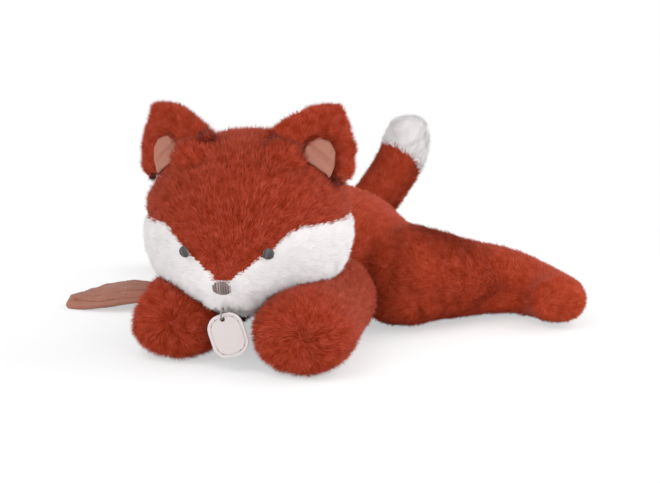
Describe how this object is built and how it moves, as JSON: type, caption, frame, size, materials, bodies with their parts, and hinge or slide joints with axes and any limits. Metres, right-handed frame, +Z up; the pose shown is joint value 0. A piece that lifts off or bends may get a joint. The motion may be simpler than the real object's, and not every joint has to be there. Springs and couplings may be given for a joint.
{
  "type": "plush fox toy",
  "caption": "Soft plush fox lying on its belly with its chin on its forepaws, with soft jointed limbs, ears and tail, a quilted cloth leaf at its side and a blank hang tag.",
  "frame": {"origin": "middle of the bounding box at floor level, under the fox lying on its belly", "axes": "+Z up, -Y the way the body faces, +X towards the fox's left side"},
  "size_m": [0.354, 0.266, 0.1563],
  "materials": {
    "red_plush": "terracotta plush pile",
    "white_plush": "white plush pile",
    "lining_cloth": "smooth embossed cloth",
    "dark_thread": "satin stitched thread",
    "silver_thread": "satin stitched thread",
    "polyester_fibre": "loose fibre filling",
    "tag_card": "blank coated card"
  },
  "bodies": {
    "torso": {"torso_back_panel": "red_plush", "torso_belly_panel": "red_plush", "torso_stuffing": "polyester_fibre", "leaf_tab": "lining_cloth"},
    "head": {"crown_panel": "red_plush", "cheek_left_panel": "white_plush", "cheek_right_panel": "white_plush", "head_stuffing": "polyester_fibre", "eye_left": "dark_thread", "eye_right": "dark_thread", "nose": "silver_thread", "tag_loop": "dark_thread"},
    "arm_left": {"arm_left_cover": "red_plush", "arm_left_stuffing": "polyester_fibre"},
    "arm_right": {"arm_right_cover": "red_plush", "arm_right_stuffing": "polyester_fibre"},
    "leg_left": {"leg_left_cover": "red_plush", "leg_left_stuffing": "polyester_fibre"},
    "leg_right": {"leg_right_cover": "red_plush", "leg_right_stuffing": "polyester_fibre"},
    "tail": {"tail_sleeve": "red_plush", "tail_tip": "white_plush", "tail_stuffing": "polyester_fibre"},
    "ear_left": {"ear_left_plush": "red_plush", "ear_left_lining": "lining_cloth"},
    "ear_right": {"ear_right_plush": "red_plush", "ear_right_lining": "lining_cloth"},
    "leaf": {"leaf_top_cloth": "lining_cloth", "leaf_bottom_cloth": "lining_cloth", "leaf_wadding": "polyester_fibre"},
    "tag": {"tag_card": "tag_card"}
  },
  "joints": [
    {"name": "head_nod", "type": "hinge", "parent": "torso", "child": "head", "pos_m": [-0.00664, -0.06545, 0.082], "axis": [-0.9742, -0.2249, -0.0175], "range_deg": [0, 18], "stiffness_Nm_per_rad": 0.5},
    {"name": "arm_left_swing", "type": "hinge", "parent": "torso", "child": "arm_left", "pos_m": [0.03336, -0.03145, 0.028], "axis": [0, 0, 1], "range_deg": [0, 20]},
    {"name": "arm_right_swing", "type": "hinge", "parent": "torso", "child": "arm_right", "pos_m": [-0.04664, -0.03145, 0.028], "axis": [0, 0, -1], "range_deg": [0, 20]},
    {"name": "leg_left_swing", "type": "hinge", "parent": "torso", "child": "leg_left", "pos_m": [0.06736, 0.02802, 0.0345], "axis": [0, 0, 1], "range_deg": [-8, 8]},
    {"name": "leg_right_swing", "type": "hinge", "parent": "torso", "child": "leg_right", "pos_m": [-0.08064, 0.02802, 0.0345], "axis": [0, 0, -1], "range_deg": [-8, 8]},
    {"name": "tail_wag", "type": "hinge", "parent": "torso", "child": "tail", "pos_m": [-0.00064, 0.09055, 0.05], "axis": [0, 1, 0], "range_deg": [-16, 16], "stiffness_Nm_per_rad": 0.1},
    {"name": "ear_left_flex", "type": "hinge", "parent": "head", "child": "ear_left", "pos_m": [0.03539, -0.06806, 0.11871], "axis": [0.819, 0.5735, 0.0162], "range_deg": [-10, 10], "stiffness_Nm_per_rad": 0.05},
    {"name": "ear_right_flex", "type": "hinge", "parent": "head", "child": "ear_right", "pos_m": [-0.0445, -0.0865, 0.11728], "axis": [0.9876, -0.1565, 0.0162], "range_deg": [-10, 10], "stiffness_Nm_per_rad": 0.05},
    {"name": "leaf_flap", "type": "hinge", "parent": "torso", "child": "leaf", "pos_m": [-0.11064, -0.00471, 0.0067], "axis": [-0.4695, 0.8829, 0], "range_deg": [0, 60]},
    {"name": "tag_swing", "type": "hinge", "parent": "head", "child": "tag", "pos_m": [0.00434, -0.12244, 0.03196], "axis": [-0.9742, -0.2249, -0.0175], "range_deg": [-12, 12]}
  ]
}
